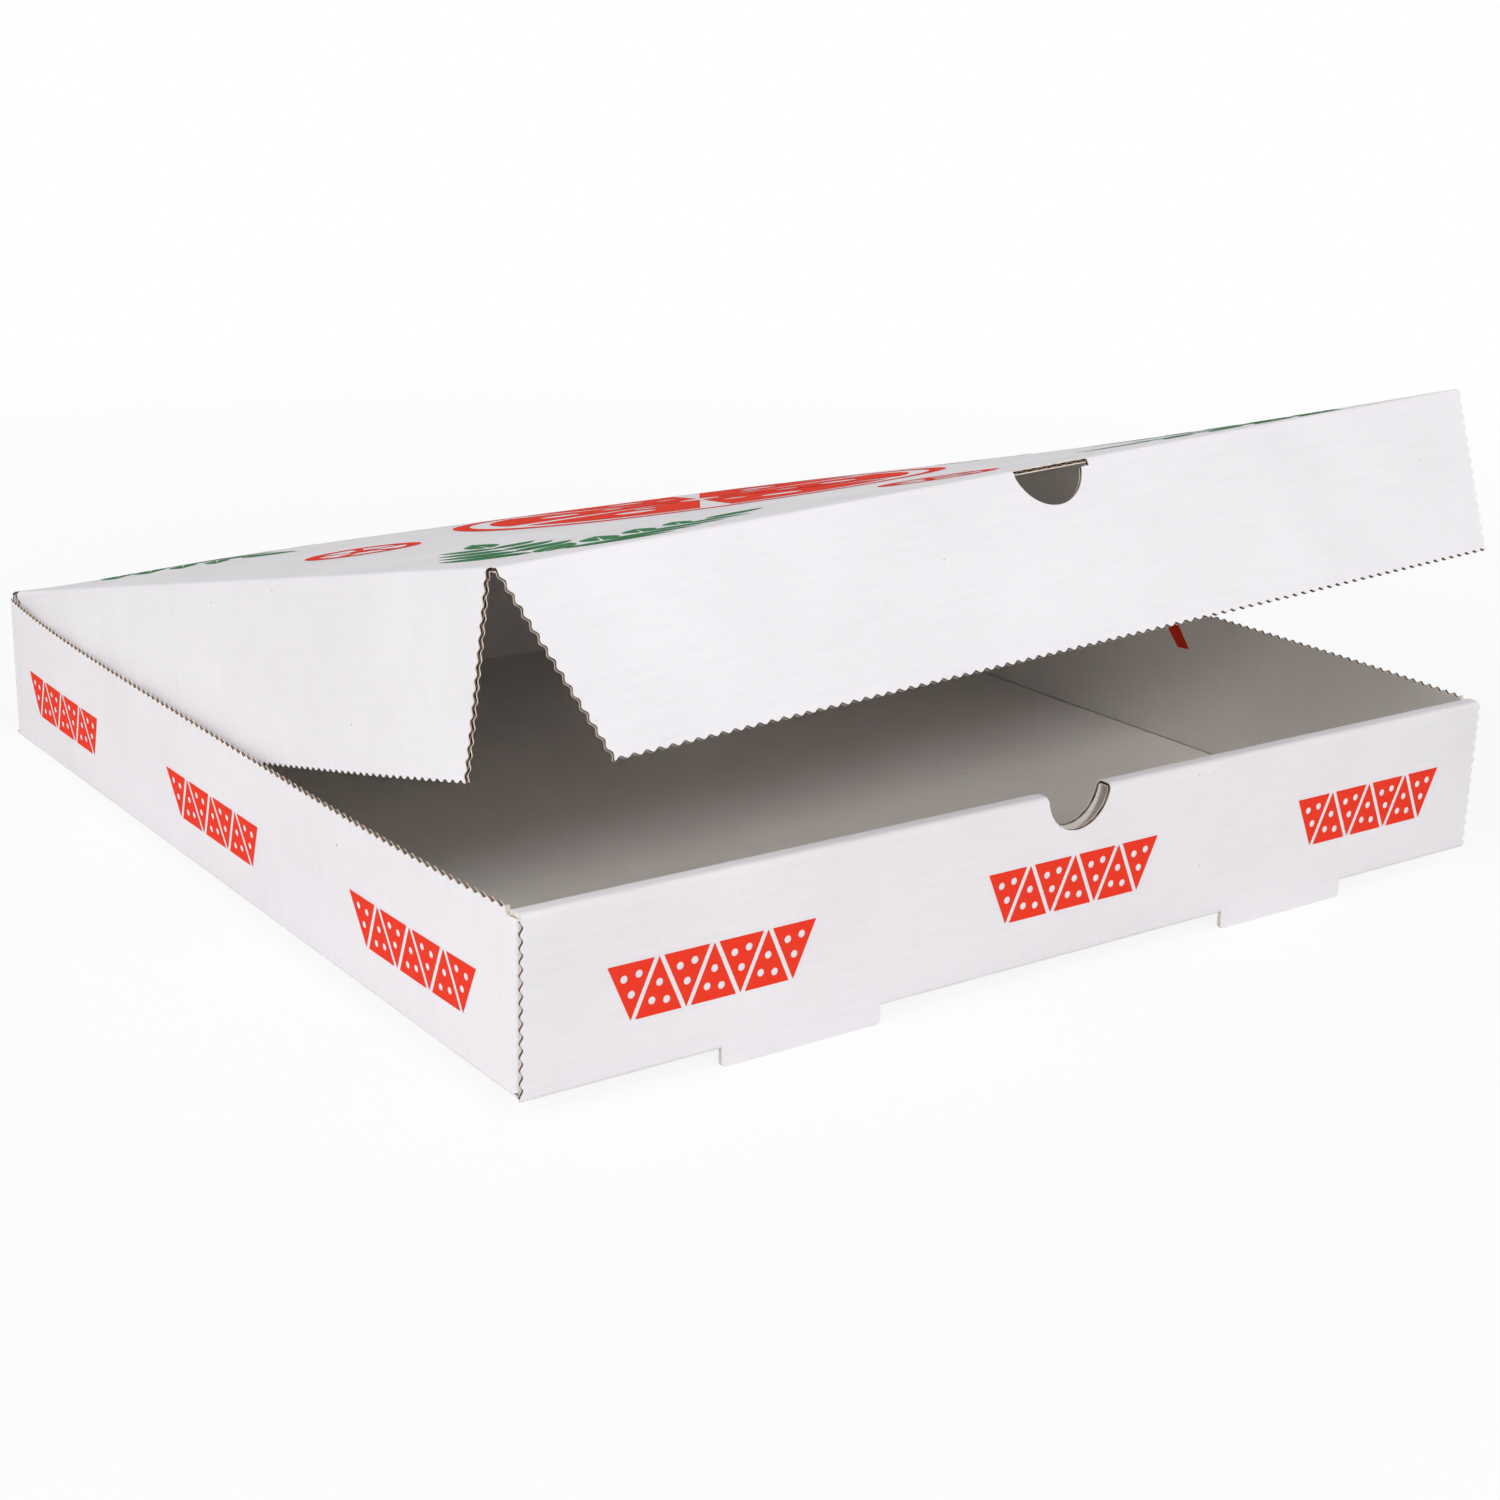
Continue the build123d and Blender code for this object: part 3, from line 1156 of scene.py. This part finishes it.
def build_floor():
    """A wide pale floor, tilted to meet the feet and the rear edge, near white to the camera with the shadow
    kept."""
    mesh = bpy.data.meshes.new("floor")
    corners = [(x * floor_reach, y * floor_reach, 0) for x, y in ((-1, -1), (1, -1), (1, 1), (-1, 1))]
    mesh.from_pydata(corners, [], [(0, 1, 2, 3)])
    floor = bpy.data.objects.new("floor", mesh)
    floor.rotation_euler.x = math.atan2(foot_drop, depth)
    floor.location.z = -(foot_drop / 2 + floor_gap) * MM
    bpy.context.collection.objects.link(floor)
    material, tree, shader = new_material("floor_paper")
    tone = blend_colour(tree, noise(tree, *floor_noise), srgb(250, 250, 250), srgb(246, 246, 246))
    tree.links.new(tone, shader.inputs["Base Color"])
    shader.inputs["Roughness"].default_value = 1.0
    shader.inputs["Specular IOR Level"].default_value = 0.0
    glow = make(tree, "ShaderNodeEmission", Color=(1, 1, 1, 1), Strength=1.0)
    away = make(tree, "ShaderNodeVectorMath", i0=make(tree, "ShaderNodeTexCoord").outputs["Object"])
    away.operation = "LENGTH"
    glowing = make(
        tree, "ShaderNodeMapRange", Value=away.outputs["Value"],
        i1=white_near, i2=white_far, i3=white_share_near, i4=white_share_far,
    )
    path = make(tree, "ShaderNodeLightPath")
    seen = math_node(tree, "MULTIPLY", path.outputs["Is Camera Ray"], glowing.outputs[0])
    mixed = make(tree, "ShaderNodeMixShader", i0=seen, i1=shader.outputs[0], i2=glow.outputs[0])
    tree.links.new(mixed.outputs[0], tree.nodes["Material Output"].inputs["Surface"])
    mesh.materials.append(material)


# Lights: the level of the surroundings, and each lamp's angles in degrees, distance, size and power
world_level = 0.23
lamps = (
    ("left_softbox", -78, 30, 3.0, 2.2, 51),
    ("top_softbox", 28, 62, 2.4, 2.0, 11),
    ("front_softbox", -5, 30.5, 3.0, 0.4, 25.5),
)


def build_world(level):
    """White to the camera, a soft even level for the light."""
    world = bpy.data.worlds.new("studio")
    bpy.context.scene.world = world
    world.use_nodes = True
    tree = world.node_tree
    path = make(tree, "ShaderNodeLightPath")
    seen = math_node(tree, "MAXIMUM", path.outputs["Is Camera Ray"], path.outputs["Is Glossy Ray"])
    seen = math_node(tree, "MAXIMUM", seen, path.outputs["Is Transmission Ray"])
    soft = tree.nodes["Background"]
    soft.inputs["Color"].default_value = (1, 1, 1, 1)
    soft.inputs["Strength"].default_value = level
    white = make(tree, "ShaderNodeBackground", Color=(1, 1, 1, 1), Strength=1.0)
    mixed = make(tree, "ShaderNodeMixShader", i0=seen, i1=soft.outputs[0], i2=white.outputs[0])
    tree.links.new(mixed.outputs[0], tree.nodes["World Output"].inputs["Surface"])


def way_to(azimuth, elevation):
    """The way from the box to a lamp or camera, by its compass angle from the front and its height angle."""
    turn, rise = math.radians(azimuth), math.radians(elevation)
    return Vector((math.sin(turn) * math.cos(rise), -math.cos(turn) * math.cos(rise), math.sin(rise)))


def add_lamp(name, azimuth, elevation, distance, size, power):
    """A square soft lamp aimed at the box."""
    way = way_to(azimuth, elevation)
    lamp = bpy.data.lights.new(name, "AREA")
    lamp.shape = "SQUARE"
    lamp.size = size
    lamp.energy = power
    obj = bpy.data.objects.new(name, lamp)
    obj.location = way * distance
    obj.rotation_euler = way.to_track_quat("Z", "Y").to_euler()
    bpy.context.collection.objects.link(obj)


def build_lights():
    build_world(world_level)
    for lamp in lamps:
        add_lamp(*lamp)


# Camera: angles in degrees, distance and shifts in millimetres, from the fit to the tray's corners
camera_azimuth = -36.08
camera_elevation = 17.60
camera_roll = math.radians(1.66)
camera_distance = 744.45
camera_right = 12.95
camera_up = 12.20
camera_lens = 58.01
camera_sensor = 36.0


def build_camera():
    """The photograph's angle: turn, height and roll."""
    back = way_to(camera_azimuth, camera_elevation)
    turn = math.radians(camera_azimuth)
    right = Vector((math.cos(turn), math.sin(turn), 0))
    up = back.cross(right)
    rolled_right = right * math.cos(camera_roll) + up * math.sin(camera_roll)
    rolled_up = up * math.cos(camera_roll) - right * math.sin(camera_roll)
    camera = bpy.data.cameras.new("camera")
    camera.lens = camera_lens
    camera.sensor_width = camera_sensor
    obj = bpy.data.objects.new("camera", camera)
    place = (back * camera_distance + right * camera_right + up * camera_up) * MM
    aim = Matrix((rolled_right, rolled_up, back)).transposed().to_4x4()
    obj.matrix_world = Matrix.Translation(place) @ aim
    bpy.context.collection.objects.link(obj)
    bpy.context.scene.camera = obj


def build_all():
    white = paper(
        "white_liner", srgb(241, 238, 242), srgb(231, 228, 232), srgb(176, 170, 164),
        roughness=0.5, washboard=0.25,
    )
    inside = paper(
        "inner_liner", srgb(245, 240, 236), srgb(236, 230, 225), srgb(160, 150, 138),
        roughness=0.7, washboard=0.25,
    )
    edge = kraft("liner_edge", srgb(238, 233, 226), srgb(218, 209, 198))
    brown = kraft("fluted_medium", srgb(174, 142, 118), srgb(130, 102, 84))
    # dark brown of the flute hollows: painted shade, darker than the kraft of the medium
    hollow_shade = kraft("flute_hollow_shade", srgb(84, 58, 48), srgb(50, 36, 30))
    red = ink("red_ink", srgb(242, 58, 36), srgb(234, 64, 44))
    green = ink("green_ink", srgb(50, 122, 72), srgb(62, 130, 84))
    boards = [white, inside, edge, brown, hollow_shade]
    build_tray(boards)
    build_lid(boards)
    build_front_flap(boards)
    build_side_flap("left", -1, boards)
    build_side_flap("right", 1, boards)
    build_creases(boards)
    build_wall_print(red)
    build_lid_print(red, green)
    build_floor()
    build_lights()
    build_camera()
    bpy.context.scene.view_settings.view_transform = "Standard"


build_all()
